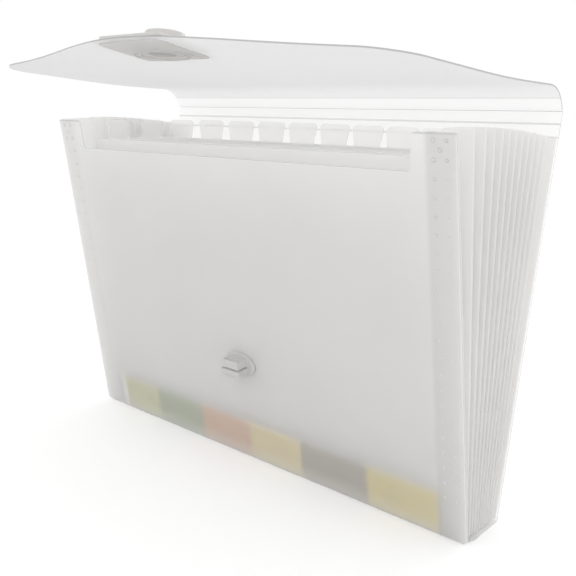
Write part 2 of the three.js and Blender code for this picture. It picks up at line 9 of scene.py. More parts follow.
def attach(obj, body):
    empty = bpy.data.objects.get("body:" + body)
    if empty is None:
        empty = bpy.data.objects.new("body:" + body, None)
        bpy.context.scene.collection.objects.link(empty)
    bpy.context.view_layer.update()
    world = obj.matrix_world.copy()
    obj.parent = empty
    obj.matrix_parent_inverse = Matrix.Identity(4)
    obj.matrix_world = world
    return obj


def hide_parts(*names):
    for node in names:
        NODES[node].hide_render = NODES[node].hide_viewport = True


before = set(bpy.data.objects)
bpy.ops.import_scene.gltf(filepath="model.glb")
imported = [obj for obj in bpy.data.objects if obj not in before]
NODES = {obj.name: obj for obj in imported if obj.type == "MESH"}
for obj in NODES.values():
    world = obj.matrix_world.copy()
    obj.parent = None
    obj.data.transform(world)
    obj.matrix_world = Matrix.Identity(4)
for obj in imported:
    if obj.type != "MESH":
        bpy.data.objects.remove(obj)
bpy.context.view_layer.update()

MM = 0.001

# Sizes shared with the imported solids
FRONT_WIDTH = 330
BACK_WIDTH = 326
BASE_DEPTH = 36.6
FRONT_HEIGHT = 222.4
FRONT_LEAN = math.radians(8.6)
BACK_HEIGHT = 219.4
BACK_LEAN = math.radians(10.3)
COVER_THICKNESS = 0.8
FILM_THICKNESS = 0.3
GAP = 0.3
FOLD_RADIUS = 1.4
NOTCH_DEPTH = 19.1
SCORE_SPACING = 7.4
HINGE_HEIGHT = BACK_HEIGHT + 2 * SCORE_SPACING

FLAP_LENGTH = 164.5
FLAP_HALF_WIDTH = BACK_WIDTH / 2
FLAP_CORNER = 21.5
TONGUE_LENGTH = 17.6
TONGUE_HALF_WIDTH = FLAP_HALF_WIDTH - 26
CLASP_PLACE = 153.8
CLASP_HOLE = (25, 17.6)
CLASP_SLAB = (53, 36)
CLASP_CAP_SLAB = (54, 36)
SLAB_REACH = 6.2
SLAB_CORNER = 2.4
CLASP_OPENING = (20, 12.6)
TURRET = (26, 18.6)
TURRET_HEIGHT = 8.8
OUTER_RING = (46, 22.6, 1.5)
INNER_RING = (35, 18.6, 1.3)
PLATE_THICKNESS = 1.3
CAP_THICKNESS = 1.8
OPENING_WALL = 2.2
OPENING_SPAN = (-7.2, 6)

TAB_PITCH = 21
TAB_TOP = 17.2
TAB_ROOT = 19.8
TAB_FOOT = 207.4
TAB_BELOW, TAB_MIDDLE, TAB_ABOVE = 190, 211, 300
TAB_TOP_FLARE = 23.4 / TAB_TOP
TAB_ROOT_FLARE = 20.4 / TAB_ROOT

POCKETS = 13
PLEAT_REACH = 17
VALLEY_X = FRONT_WIDTH / 2 - PLEAT_REACH
PLEAT_PANEL = 0.8 * PLEAT_REACH
FOLD_HALF = 0.4

CARD_LEFT = 7 - VALLEY_X
CARD_HEIGHT = 25.4


# The camera stands where the photograph's did

def photo_camera():
    yaw, pitch, roll = math.radians(-42.93), math.radians(12.54), 0.011
    forward = Vector((math.sin(yaw) * math.cos(pitch), math.cos(yaw) * math.cos(pitch), -math.sin(pitch)))
    level = Vector((math.cos(yaw), -math.sin(yaw), 0))
    upright = level.cross(forward)
    right = level * math.cos(roll) + upright * math.sin(roll)
    up = upright * math.cos(roll) - level * math.sin(roll)
    data = bpy.data.cameras.new("photo_camera")
    camera = bpy.data.objects.new("photo_camera", data)
    bpy.context.scene.collection.objects.link(camera)
    turn = Matrix((right, up, -forward)).transposed().to_4x4()
    camera.matrix_world = Matrix.Translation(Vector((366.1, -379.1, 230.7)) * MM) @ turn
    data.lens = 51.09
    data.sensor_width = 36
    data.shift_x = 0.6 / 576
    data.shift_y = 1.0 / 576
    data.clip_start = 0.01
    data.clip_end = 20
    bpy.context.scene.camera = camera


photo_camera()


# Node building

def put(tree, kind, inputs=None, **settings):
    made = tree.nodes.new(kind)
    for key, value in settings.items():
        setattr(made, key, value)
    for key, value in (inputs or {}).items():
        if isinstance(value, bpy.types.NodeSocket):
            tree.links.new(value, made.inputs[key])
        else:
            made.inputs[key].default_value = value
    return made


def sums(tree, operation, *values):
    made = put(tree, "ShaderNodeMath", dict(enumerate(values)), operation=operation)
    return made.outputs[0]


def ramp_between(tree, value, low, high, out_low=0.0, out_high=1.0):
    made = put(
        tree, "ShaderNodeMapRange",
        {"Value": value, "From Min": low, "From Max": high, "To Min": out_low, "To Max": out_high},
        interpolation_type="SMOOTHSTEP",
    )
    return made.outputs["Result"]


def blend_colours(tree, share, first, second):
    made = put(tree, "ShaderNodeMix", {0: share, 6: first, 7: second}, data_type="RGBA")
    return made.outputs[2]


def split(tree, vector):
    return put(tree, "ShaderNodeSeparateXYZ", {0: vector}).outputs


def new_group(name, inputs, outputs):
    group = bpy.data.node_groups.new(name, "ShaderNodeTree")
    for label, kind, value in inputs:
        socket = group.interface.new_socket(name=label, in_out="INPUT", socket_type=kind)
        if value is not None:
            socket.default_value = value
    for label, kind in outputs:
        group.interface.new_socket(name=label, in_out="OUTPUT", socket_type=kind)
    given = group.nodes.new("NodeGroupInput").outputs
    out = group.nodes.new("NodeGroupOutput").inputs
    return group, given, out


def use_group(tree, group, inputs):
    made = put(tree, "ShaderNodeGroup")
    made.node_tree = group
    for key, value in inputs.items():
        if isinstance(value, bpy.types.NodeSocket):
            tree.links.new(value, made.inputs[key])
        else:
            made.inputs[key].default_value = value
    return made.outputs


# Frosting: the fine grain that calendering leaves in the sheet, and slow unevenness of its milkiness
def frosting_group():
    group, given, out = new_group(
        "frosting",
        [
            ("Place", "NodeSocketVector", None),
            ("Tint", "NodeSocketColor", (0.9, 0.9, 0.9, 1)),
            ("Unevenness", "NodeSocketFloat", 0.03),
            ("Grain", "NodeSocketFloat", 0.2),
        ],
        [("Color", "NodeSocketColor"), ("Roughness", "NodeSocketFloat"), ("Normal", "NodeSocketVector")],
    )
    clouds = put(group, "ShaderNodeTexNoise", {"Vector": given["Place"], "Scale": 14.0, "Detail": 3.0})
    grain = put(group, "ShaderNodeTexNoise", {"Vector": given["Place"], "Scale": 1400.0, "Detail": 2.0})
    darker = put(group, "ShaderNodeHueSaturation", {"Color": given["Tint"]})
    group.links.new(
        sums(group, "SUBTRACT", 1.0, sums(group, "MULTIPLY", clouds.outputs["Fac"], given["Unevenness"])),
        darker.inputs["Value"],
    )
    bump = put(
        group, "ShaderNodeBump",
        {"Strength": given["Grain"], "Distance": 0.00008, "Height": grain.outputs["Fac"]},
    )
    group.links.new(darker.outputs[0], out["Color"])
    group.links.new(ramp_between(group, grain.outputs["Fac"], 0.3, 0.7, 0.42, 0.56), out["Roughness"])
    group.links.new(bump.outputs[0], out["Normal"])
    return group


# Line: a soft mask round one value of a coordinate
def line_group():
    group, given, out = new_group(
        "line",
        [
            ("Value", "NodeSocketFloat", 0.0),
            ("Centre", "NodeSocketFloat", 0.0),
            ("Half width", "NodeSocketFloat", 0.0005),
        ],
        [("Mask", "NodeSocketFloat")],
    )
    away = sums(group, "ABSOLUTE", sums(group, "SUBTRACT", given["Value"], given["Centre"]))
    share = sums(group, "DIVIDE", away, given["Half width"])
    group.links.new(ramp_between(group, share, 1.3, 0.7), out["Mask"])
    return group


FROSTING = frosting_group()
LINE = line_group()


# Closes a material whose sheet lets light through: it scatters once on the way in and is clear on the way out
def milky(tree, colour, roughness, normal, through, clear):
    body = put(
        tree, "ShaderNodeBsdfPrincipled",
        {"Base Color": colour, "IOR": 1.49, "Specular IOR Level": 0.4},
    )
    glow = put(tree, "ShaderNodeBsdfTranslucent", {"Color": colour})
    if roughness is not None:
        tree.links.new(roughness, body.inputs["Roughness"])
    if normal is not None:
        tree.links.new(normal, body.inputs["Normal"])
    scattered = put(tree, "ShaderNodeMixShader", {0: through, 1: body.outputs[0], 2: glow.outputs[0]})
    window = put(tree, "ShaderNodeBsdfTransparent", {"Color": (1, 1, 1, 1)})
    sheet = put(tree, "ShaderNodeMixShader", {0: clear, 1: scattered.outputs[0], 2: window.outputs[0]})
    inside = put(tree, "ShaderNodeNewGeometry").outputs["Backfacing"]
    whole = put(tree, "ShaderNodeMixShader", {0: inside, 1: sheet.outputs[0], 2: window.outputs[0]})
    put(tree, "ShaderNodeOutputMaterial", {"Surface": whole.outputs[0]})


def new_material(name):
    material = bpy.data.materials.new(name)
    material.use_nodes = True
    material.node_tree.nodes.clear()
    return material, material.node_tree


def grey(value, warm=0.0):
    return (value, value * (1 - 0.4 * warm), value * (1 - warm), 1)


SHEET_TINT = grey(0.975, 0.008)
# Painted shade: the flap is the cover's own sheet, given a darker tint for its shaded underside
FLAP_SHADE_TINT = grey(0.8, 0.0)
FILM_TINT = grey(0.965, 0.010)
# Painted shade towards the flap's left end
FLAP_END_SHADE_TINT = grey(0.73, 0.0)
# Painted light by the flap's hinge
FLAP_ROOT_LIGHT_TINT = grey(0.82, 0.0)
EDGE_TINT = grey(0.55, 0.0)
SCORE_TINT = grey(0.74, 0.0)
# Welded margins: the weld's own tone with painted shade
WELD_AND_SHADE_TINT = grey(0.85, 0.012)
RIM_TINT = grey(0.78)
CLASP_TINT = grey(0.89, 0.03)
STUD_TINT = grey(0.84, 0.025)
FADED_INK = grey(0.8, 0.03)


# Cover: cut edges look darker, and so do the margins welded to the film, partly the weld's own tone and
# partly painted shade; the right one is darker than the left, which is painted shade.
# Each score line in the strip above the back panel shows as a thin grey line.
def cover_material():
    material, tree = new_material("frosted_cover")
    place = put(tree, "ShaderNodeTexCoord").outputs
    x, y, z = split(tree, place["Object"])
    nx, _, nz = split(tree, place["Normal"])
    side_edge = ramp_between(tree, sums(tree, "ABSOLUTE", nx), 0.5, 0.7, 0.0, 0.35)
    top_edge = sums(tree, "MULTIPLY", ramp_between(tree, nz, 0.7, 0.85), ramp_between(tree, z, 0.1, 0.12))
    in_front = ramp_between(tree, y, 0.0, -0.01)
    ear_line = sums(tree, "MULTIPLY", ramp_between(tree, z, 0.2189, 0.2194, 0, 0.5), in_front)
    edge = sums(tree, "MAXIMUM", sums(tree, "MAXIMUM", side_edge, top_edge), ear_line)
    scores = None
    for step in range(2):
        height = (BACK_HEIGHT + step * SCORE_SPACING) * math.cos(BACK_LEAN) * MM
        mask = use_group(tree, LINE, {"Value": z, "Centre": height, "Half width": 0.00055})["Mask"]
        scores = mask if scores is None else sums(tree, "MAXIMUM", scores, mask)
    scores = sums(tree, "MULTIPLY", scores, ramp_between(tree, y, 0.05, 0.052))
    frost = use_group(tree, FROSTING, {"Place": place["Object"], "Tint": SHEET_TINT, "Unevenness": 0.05})
    # Painted shade over the welded margins, heavier on the right than on the left
    weld_shade_right = ramp_between(tree, x, (VALLEY_X - 2) * MM, (VALLEY_X + 1.5) * MM)
    weld_shade_left = ramp_between(tree, x, (2 - VALLEY_X) * MM, (-1.5 - VALLEY_X) * MM, 0, 0.3)
    weld_and_shade = sums(tree, "MAXIMUM", weld_shade_right, weld_shade_left)
    weld_and_shade = sums(tree, "MULTIPLY", weld_and_shade, in_front)
    colour = blend_colours(tree, weld_and_shade, frost["Color"], WELD_AND_SHADE_TINT)
    colour = blend_colours(tree, edge, colour, EDGE_TINT)
    colour = blend_colours(tree, scores, colour, SCORE_TINT)
    milky(tree, colour, frost["Roughness"], frost["Normal"], 0.55, 0.1)
    return material


# Flap: its own map runs from the hinge line (v) and from the middle (u), in metres. Its tint is painted
# shade, darker than the cover sheet's and darker still towards the left end; painted light makes it lighter
# by the hinge, and lighter still on the strip's last field.
def flap_material():
    material, tree = new_material("frosted_flap")
    place = put(tree, "ShaderNodeTexCoord").outputs
    u, v, _ = split(tree, place["UV"])
    score = use_group(tree, LINE, {"Value": v, "Centre": 7.8 * MM, "Half width": 0.0005})["Mask"]
    frost = use_group(tree, FROSTING, {"Place": place["Object"], "Tint": FLAP_SHADE_TINT, "Unevenness": 0.04})
    # Painted shade: darker towards the left end
    colour = blend_colours(tree, ramp_between(tree, u, 0.03, -0.16), frost["Color"], FLAP_END_SHADE_TINT)
    # Painted light: lighter by the hinge
    colour = blend_colours(tree, ramp_between(tree, v, 0.055, 0.012, 0, 0.5), colour, FLAP_ROOT_LIGHT_TINT)
    by_hinge = ramp_between(tree, v, 8.2 * MM, 7.4 * MM, 0, 0.5)
    colour = blend_colours(tree, by_hinge, colour, SHEET_TINT)
    colour = blend_colours(tree, score, colour, SCORE_TINT)
    milky(tree, colour, frost["Roughness"], frost["Normal"], 0.75, 0.1)
    return material


def sheet_material(name, tint, through, clear, unevenness=0.04):
    material, tree = new_material(name)
    place = put(tree, "ShaderNodeTexCoord").outputs
    frost = use_group(tree, FROSTING, {"Place": place["Object"], "Tint": tint, "Unevenness": unevenness})
    milky(tree, frost["Color"], frost["Roughness"], frost["Normal"], through, clear)
    return material


# Dividers: their map gives the height on the sheet (v, in metres). Tabs look clearer than the sheet below,
# with a darker rim.
def divider_material():
    material, tree = new_material("frosted_divider")
    place = put(tree, "ShaderNodeTexCoord").outputs
    nx, _, nz = split(tree, place["Normal"])
    tab = ramp_between(tree, split(tree, place["UV"])[1], TAB_FOOT * MM, (TAB_FOOT + 1) * MM)
    side_rim = ramp_between(tree, sums(tree, "ABSOLUTE", nx), 0.3, 0.6)
    top_rim = ramp_between(tree, nz, 0.6, 0.8)
    rim = sums(tree, "MULTIPLY", sums(tree, "MAXIMUM", side_rim, top_rim), tab)
    frost = use_group(tree, FROSTING, {"Place": place["Object"], "Tint": SHEET_TINT, "Unevenness": 0.04})
    colour = blend_colours(tree, rim, frost["Color"], RIM_TINT)
    through = ramp_between(tree, tab, 0, 1, 0.4, 0.7)
    clear = ramp_between(tree, tab, 0, 1, 0.05, 0.45)
    milky(tree, colour, frost["Roughness"], frost["Normal"], through, clear)
    return material


# Moulded clear-milky plastic of the stud and the clasp
def moulded_material(name, tint):
    material, tree = new_material(name)
    place = put(tree, "ShaderNodeTexCoord").outputs
    frost = use_group(
        tree, FROSTING,
        {"Place": place["Object"], "Tint": tint, "Unevenness": 0.12, "Grain": 0.1},
    )
    body = put(
        tree, "ShaderNodeBsdfPrincipled",
        {"Base Color": frost["Color"], "Roughness": 0.3, "IOR": 1.49, "Normal": frost["Normal"]},
    )
    glow = put(tree, "ShaderNodeBsdfTranslucent", {"Color": frost["Color"]})
    whole = put(tree, "ShaderNodeMixShader", {0: 0.3, 1: body.outputs[0], 2: glow.outputs[0]})
    put(tree, "ShaderNodeOutputMaterial", {"Surface": whole.outputs[0]})
    return material


# Label card: six fields of colour side by side, each with the x of its right edge in millimetres
CARD_FIELDS = [
    (-96, (0.47, 0.47, 0.17, 1)),
    (-47, (0.19, 0.25, 0.05, 1)),
    (1, (0.54, 0.26, 0.055, 1)),
    (46, (0.63, 0.50, 0.12, 1)),
    (98, (0.21, 0.155, 0.06, 1)),
    (None, (0.60, 0.48, 0.0, 1)),
]


def card_material():
    material, tree = new_material("label_card")
    place = put(tree, "ShaderNodeTexCoord").outputs
    x, _, z = split(tree, place["Object"])
    colour = CARD_FIELDS[0][1]
    for (edge, _), (_, following) in zip(CARD_FIELDS, CARD_FIELDS[1:]):
        passed = ramp_between(tree, x, (edge - 1.2) * MM, (edge + 1.2) * MM)
        colour = blend_colours(tree, passed, colour, following)
    fade = ramp_between(tree, z, 0.0015, 0.012, 0.45, 0.0)
    colour = blend_colours(tree, fade, colour, FADED_INK)
    ends = sums(
        tree, "MAXIMUM",
        ramp_between(tree, x, (CARD_LEFT + 8) * MM, CARD_LEFT * MM),
        ramp_between(tree, z, 22 * MM, 26 * MM, 0, 0.2),
    )
    colour = blend_colours(tree, ends, colour, FADED_INK)
    ink = put(tree, "ShaderNodeTexNoise", {"Vector": place["Object"], "Scale": 900.0, "Detail": 2.0})
    speckled = put(tree, "ShaderNodeHueSaturation", {"Color": colour})
    tree.links.new(ramp_between(tree, ink.outputs["Fac"], 0.3, 0.7, 0.94, 1.06), speckled.inputs["Value"])
    body = put(tree, "ShaderNodeBsdfPrincipled", {"Base Color": speckled.outputs[0], "Roughness": 0.75})
    put(tree, "ShaderNodeOutputMaterial", {"Surface": body.outputs[0]})
    return material


COVER_FINISH = cover_material()
FLAP_FINISH = flap_material()
FILM_FINISH = sheet_material("pleated_film", FILM_TINT, 0.42, 0.08)
DIVIDER_FINISH = divider_material()
CLASP_FINISH = moulded_material("moulded_clasp", CLASP_TINT)
STUD_FINISH = moulded_material("moulded_stud", STUD_TINT)
CARD_FINISH = card_material()
EDGE_FINISH = sheet_material("cut_edge", EDGE_TINT, 0.3, 0.0)


def dress(piece, *materials):
    piece.data.materials.clear()
    for material in materials:
        piece.data.materials.append(material)


# Sheets laid out from a grid primitive

def eased(value):
    share = min(max(value, 0.0), 1.0)
    return share * share * (3 - 2 * share)


def lone(piece):
    bpy.ops.object.select_all(action="DESELECT")
    piece.select_set(True)
    bpy.context.view_layer.objects.active = piece


def finish_with(piece, kind, **settings):
    lone(piece)
    modifier = piece.modifiers.new(kind.lower(), kind)
    for key, value in settings.items():
        setattr(modifier, key, value)
    bpy.ops.object.modifier_apply(modifier=modifier.name)


# place(column, row) gives a point in millimetres, and spread(column, row) its u and v on the flat sheet
def laid_sheet(name, columns, rows, place, spread):
    bpy.ops.object.select_all(action="DESELECT")
    bpy.ops.mesh.primitive_grid_add(x_subdivisions=columns, y_subdivisions=rows, size=1)
    sheet = bpy.context.object
    sheet.name = sheet.data.name = name
    cells = [(round((p.co.x + 0.5) * columns), round((p.co.y + 0.5) * rows)) for p in sheet.data.vertices]
    for point, (column, row) in zip(sheet.data.vertices, cells):
        point.co = Vector(place(column, row)) * MM
    flat_map = sheet.data.uv_layers.active
    for corner in sheet.data.loops:
        flat_map.data[corner.index].uv = Vector(spread(*cells[corner.vertex_index])) * MM
    return sheet


# Flap

def back_point(height, inward=0.0):
    y = BASE_DEPTH / 2 + height * math.sin(BACK_LEAN) - inward * math.cos(BACK_LEAN)
    z = height * math.cos(BACK_LEAN) + inward * math.sin(BACK_LEAN)
    return y, z


def flap_heading(distance):
    level = math.radians(2.2)
    bend = (math.radians(69) - level) * (1 - eased(distance / 26))
    rise = math.radians(3.1) * eased((distance - 40) / 60)
    return level + bend + rise


FLAP_STEP = 0.25


def flap_profile():
    y, z = back_point(HINGE_HEIGHT, COVER_THICKNESS)
    points = [(y, z)]
    for step in range(int((FLAP_LENGTH + TONGUE_LENGTH + 2) / FLAP_STEP)):
        heading = flap_heading((step + 0.5) * FLAP_STEP)
        y -= math.cos(heading) * FLAP_STEP
        z += math.sin(heading) * FLAP_STEP
        points.append((y, z))
    return points


FLAP_PROFILE = flap_profile()


def flap_point(x, distance):
    place = max(distance, 0) / FLAP_STEP
    index = min(int(place), len(FLAP_PROFILE) - 2)
    (y0, z0), (y1, z1) = FLAP_PROFILE[index], FLAP_PROFILE[index + 1]
    share = place - index
    along = max(distance - 50, 0) / (FLAP_LENGTH - 50)
    bow = 6.7 * along * along * (1 - (x / FLAP_HALF_WIDTH) ** 2)
    return Vector((x, y0 + (y1 - y0) * share, z0 + (z1 - z0) * share + bow))


def flap_edge(x):
    in_corner = max(abs(x) - (FLAP_HALF_WIDTH - FLAP_CORNER), 0)
    rounding = math.sqrt(max(FLAP_CORNER**2 - in_corner**2, 0))
    across = min(abs(x) / TONGUE_HALF_WIDTH, 1)
    tongue = TONGUE_LENGTH * (1 + math.cos(math.pi * across)) / 2
    return FLAP_LENGTH - FLAP_CORNER + rounding + tongue


FLAP_COLUMNS = 104
FLAP_ROWS = 60
CORNER_COLUMNS = 12
BEND_ROWS = 26


def flap_column(index):
    middle = FLAP_COLUMNS / 2 - CORNER_COLUMNS
    away = index - FLAP_COLUMNS / 2
    straight = FLAP_HALF_WIDTH - FLAP_CORNER
    if abs(away) <= middle:
        return straight * away / middle
    turn = (abs(away) - middle) / CORNER_COLUMNS * math.pi / 2
    return math.copysign(straight + FLAP_CORNER * math.sin(turn), away)


def flap_cell(column, row):
    x = flap_column(column)
    bend_end = 28
    start = 0.3
    if row <= BEND_ROWS:
        return x, start + (bend_end - start) * row / BEND_ROWS
    return x, bend_end + (flap_edge(x) - bend_end) * (row - BEND_ROWS) / (FLAP_ROWS - BEND_ROWS)


def clasp_frame():
    origin = flap_point(0, CLASP_PLACE)
    along = (flap_point(0, CLASP_PLACE + 0.25) - flap_point(0, CLASP_PLACE - 0.25)).normalized()
    below = Vector((1, 0, 0)).cross(along)
    turn = Matrix((Vector((1, 0, 0)), along, below)).transposed().to_4x4()
    return Matrix.Translation(origin * MM) @ turn


def make_flap():
    flap = laid_sheet(
        "flap_sheet", FLAP_COLUMNS, FLAP_ROWS,
        lambda column, row: flap_point(*flap_cell(column, row)),
        flap_cell,
    )
    dress(flap, FLAP_FINISH, EDGE_FINISH)
    finish_with(flap, "SOLIDIFY", thickness=COVER_THICKNESS * MM, offset=1, material_offset_rim=1)
    bpy.ops.object.select_all(action="DESELECT")
    bpy.ops.mesh.primitive_cylinder_add(vertices=48, radius=0.5, depth=0.02)
    punch = bpy.context.object
    punch.scale = (CLASP_HOLE[0] * MM, CLASP_HOLE[1] * MM, 1)
    punch.matrix_world = clasp_frame() @ Matrix.Diagonal((*punch.scale, 1))
    finish_with(flap, "BOOLEAN", object=punch, operation="DIFFERENCE", solver="EXACT")
    bpy.data.objects.remove(punch)
    lone(flap)
    bpy.ops.object.shade_smooth_by_angle(angle=math.radians(35))
    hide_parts("flap")
    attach(flap, "cover_flap")
    return flap


# Pleated gussets

def mouth_share(place):
    def spread(reach):
        return 1.7 * 1.7 * (1 - math.exp(-reach / 1.7))

    return (place + spread(place)) / (POCKETS + spread(POCKETS))


FAN_INSET = GAP + FILM_THICKNESS / 2
FAN_FRONT = -BASE_DEPTH / 2 + (COVER_THICKNESS + FAN_INSET) / math.cos(FRONT_LEAN)
FAN_BACK = BASE_DEPTH / 2 - (COVER_THICKNESS + FAN_INSET) / math.cos(BACK_LEAN)
FAN_FRONT_TOP = FAN_FRONT - FRONT_HEIGHT * math.sin(FRONT_LEAN)
FAN_BACK_TOP = FAN_BACK + FRONT_HEIGHT * math.sin(BACK_LEAN)


def fan_point(place, height):
    bottom = FAN_FRONT + (FAN_BACK - FAN_FRONT) * place / POCKETS
    top = FAN_FRONT_TOP + (FAN_BACK_TOP - FAN_FRONT_TOP) * mouth_share(place)
    lean = math.asin((top - bottom) / FRONT_HEIGHT)
    return bottom + height * math.sin(lean), height * math.cos(lean)


def peak_x(pocket, height):
    half = (fan_point(pocket, height)[0] - fan_point(pocket - 1, height)[0]) / 2
    return VALLEY_X + math.sqrt(PLEAT_PANEL**2 - half**2)


FOLD_TURNS = 4


# The film's lines from front to back, as (place in the fan, x at a height, step in y, step in x)
def film_lines():
    front_edge = FRONT_WIDTH / 2 - 0.6
    back_edge = BACK_WIDTH / 2 - 0.8
    lines = [
        (0, lambda h: VALLEY_X, 0, 0),
        (0, lambda h: front_edge, 0, 0),
        (0, lambda h: front_edge, 2 * FOLD_HALF, 0),
    ]

    def fold(place, x, outward):
        for turn in range(FOLD_TURNS + 1):
            angle = math.pi * (turn / FOLD_TURNS - 0.5)
            lines.append((place, x, FOLD_HALF * math.sin(angle), outward * FOLD_HALF * math.cos(angle)))

    fold(1, lambda h: VALLEY_X, -1)
    for pocket in range(2, POCKETS):
        fold(pocket - 0.5, lambda h, pocket=pocket: peak_x(pocket, h), 1)
        fold(pocket, lambda h: VALLEY_X, -1)
    lines += [
        (POCKETS, lambda h: back_edge, -2 * FOLD_HALF, 0),
        (POCKETS, lambda h: back_edge, 0, 0),
        (POCKETS, lambda h: VALLEY_X, 0, 0),
    ]
    return lines


FILM_LINES = film_lines()
FILM_LEVELS = 14


def make_gusset(name, side):
    def cell(column, row):
        place = FILM_LINES[column][0]
        top = FRONT_HEIGHT + 0.8 + (BACK_HEIGHT - 0.2 - FRONT_HEIGHT - 0.8) * place / POCKETS
        bottom = FOLD_RADIUS + GAP
        return place, bottom + (top - bottom) * row / FILM_LEVELS

    def spot(column, row):
        place, height = cell(column, row)
        _, x, step_y, step_x = FILM_LINES[column]
        y, z = fan_point(place, height)
        return side * (x(height) + step_x), y + step_y, z

    def flat(column, row):
        place, height = cell(column, row)
        return place * PLEAT_PANEL, height

    film = laid_sheet(name, len(FILM_LINES) - 1, FILM_LEVELS, spot, flat)
    dress(film, FILM_FINISH)
    finish_with(film, "SOLIDIFY", thickness=FILM_THICKNESS * MM, offset=0)
    lone(film)
    bpy.ops.object.mode_set(mode="EDIT")
    bpy.ops.mesh.select_all(action="SELECT")
    bpy.ops.mesh.normals_make_consistent(inside=False)
    bpy.ops.object.mode_set(mode="OBJECT")
    bpy.ops.object.shade_smooth_by_angle(angle=math.radians(60))
    finish_with(film, "WEIGHTED_NORMAL", keep_sharp=True, weight=60)
    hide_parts("gusset_left" if side < 0 else "gusset_right")
    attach(film, "folder")
    return film


# Pieces that start from a solid: its flat faces are joined first

def carried_over(node, name):
    piece = NODES[node].copy()
    piece.data = NODES[node].data.copy()
    piece.name = piece.data.name = name
    piece.parent = None
    for key in list(piece.keys()):
        del piece[key]
    bpy.context.scene.collection.objects.link(piece)
    lone(piece)
    bpy.ops.object.mode_set(mode="EDIT")
    bpy.ops.mesh.select_all(action="SELECT")
    bpy.ops.mesh.remove_doubles(threshold=0.00002)
    bpy.ops.mesh.dissolve_limited(angle_limit=math.radians(1.5))
    bpy.ops.object.mode_set(mode="OBJECT")
    return piece


def round_edges(piece, rounding, segments=2, smooth=40):
    finish_with(
        piece, "BEVEL", width=rounding * MM, segments=segments,
        limit_method="ANGLE", angle_limit=math.radians(40),
    )
    lone(piece)
    bpy.ops.object.shade_smooth_by_angle(angle=math.radians(smooth))


def in_place_of(piece, node, body):
    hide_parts(node)
    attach(piece, body)


def make_stud():
    stud = carried_over("stud", "snap_stud")
    round_edges(stud, 0.8, segments=4)
    dress(stud, STUD_FINISH)
    in_place_of(stud, "stud", "folder")


# Dividers: each tab flares from its root to a broad rounded top
def make_divider(index):
    node = "divider_%02d" % index
    sheet = carried_over(node, "tabbed_sheet_%02d" % index)
    middle = (index - 6.5) * TAB_PITCH * MM
    for low, high, flare in ((TAB_MIDDLE, TAB_ABOVE, TAB_TOP_FLARE), (TAB_BELOW, TAB_MIDDLE, TAB_ROOT_FLARE)):
        bpy.ops.object.mode_set(mode="EDIT")
        bpy.ops.mesh.select_mode(type="VERT")
        bpy.ops.mesh.select_all(action="DESELECT")
        bpy.ops.object.mode_set(mode="OBJECT")
        for point in sheet.data.vertices:
            near = abs(point.co.x - middle) < TAB_PITCH / 2 * MM
            point.select = near and low * MM < point.co.z <= high * MM
        bpy.ops.object.mode_set(mode="EDIT")
        bpy.ops.transform.resize(value=(flare, 1, 1), center_override=(middle, 0, 0))
        bpy.ops.object.mode_set(mode="OBJECT")
    lean = math.asin((fan_point(index, FRONT_HEIGHT)[0] - fan_point(index, 0)[0]) / FRONT_HEIGHT)
    heights = sheet.data.uv_layers.active or sheet.data.uv_layers.new(name="height")
    for corner in sheet.data.loops:
        place = sheet.data.vertices[corner.vertex_index].co
        heights.data[corner.index].uv = (place.x, place.z / math.cos(lean))
    dress(sheet, DIVIDER_FINISH)
    in_place_of(sheet, node, "folder")


# Clasp: two moulded slabs that hold the tongue between them, with an oval turret on top. The opening is where
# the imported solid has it, and the slabs reach further towards the free edge.
# Local x runs across, y towards the free edge and z away from the underside.

def oval_block(width, depth, low, high):
    bpy.ops.object.select_all(action="DESELECT")
    bpy.ops.mesh.primitive_cylinder_add(vertices=56, radius=0.5 * MM, depth=MM)
    block = bpy.context.object
    shape = Matrix.Translation((0, 0, (low + high) / 2 * MM)) @ Matrix.Diagonal((width, depth, high - low, 1))
    block.matrix_world = clasp_frame() @ shape
    return block


def corner_block(width, depth, shift, corner, low, high):
    bpy.ops.object.select_all(action="DESELECT")
    bpy.ops.mesh.primitive_cube_add(size=MM)
    block = bpy.context.object
    block.scale = (width, depth, high - low)
    block.location = (0, shift * MM, (low + high) / 2 * MM)
    bpy.ops.object.transform_apply(location=True, rotation=True, scale=True)
    bpy.ops.object.mode_set(mode="EDIT")
    bpy.ops.mesh.select_mode(type="EDGE")
    bpy.ops.mesh.select_all(action="DESELECT")
    bpy.ops.object.mode_set(mode="OBJECT")
    for edge in block.data.edges:
        first, second = (block.data.vertices[i].co for i in edge.vertices)
        edge.select = (first - second).xy.length < 0.1 * MM
    bpy.ops.object.mode_set(mode="EDIT")
    bpy.ops.mesh.bevel(offset=corner * MM, segments=5, affect="EDGES")
    bpy.ops.object.mode_set(mode="OBJECT")
    block.matrix_world = clasp_frame()
    return block


def combine(piece, other, operation):
    finish_with(piece, "BOOLEAN", object=other, operation=operation, solver="EXACT")
    bpy.data.objects.remove(other)


def oval_ring(piece, width, depth, wall, low, high):
    ring = oval_block(width, depth, low, high)
    combine(ring, oval_block(width - 2 * wall, depth - 2 * wall, low - 1, high + 1), "DIFFERENCE")
    combine(piece, ring, "UNION")


def finish_clasp_piece(piece, name, node, rounding):
    combine(piece, oval_block(*CLASP_OPENING, *OPENING_SPAN), "DIFFERENCE")
    lone(piece)
    bpy.ops.object.transform_apply(location=True, rotation=True, scale=True)
    piece.name = piece.data.name = name
    round_edges(piece, rounding)
    dress(piece, CLASP_FINISH)
    in_place_of(piece, node, "cover_flap")


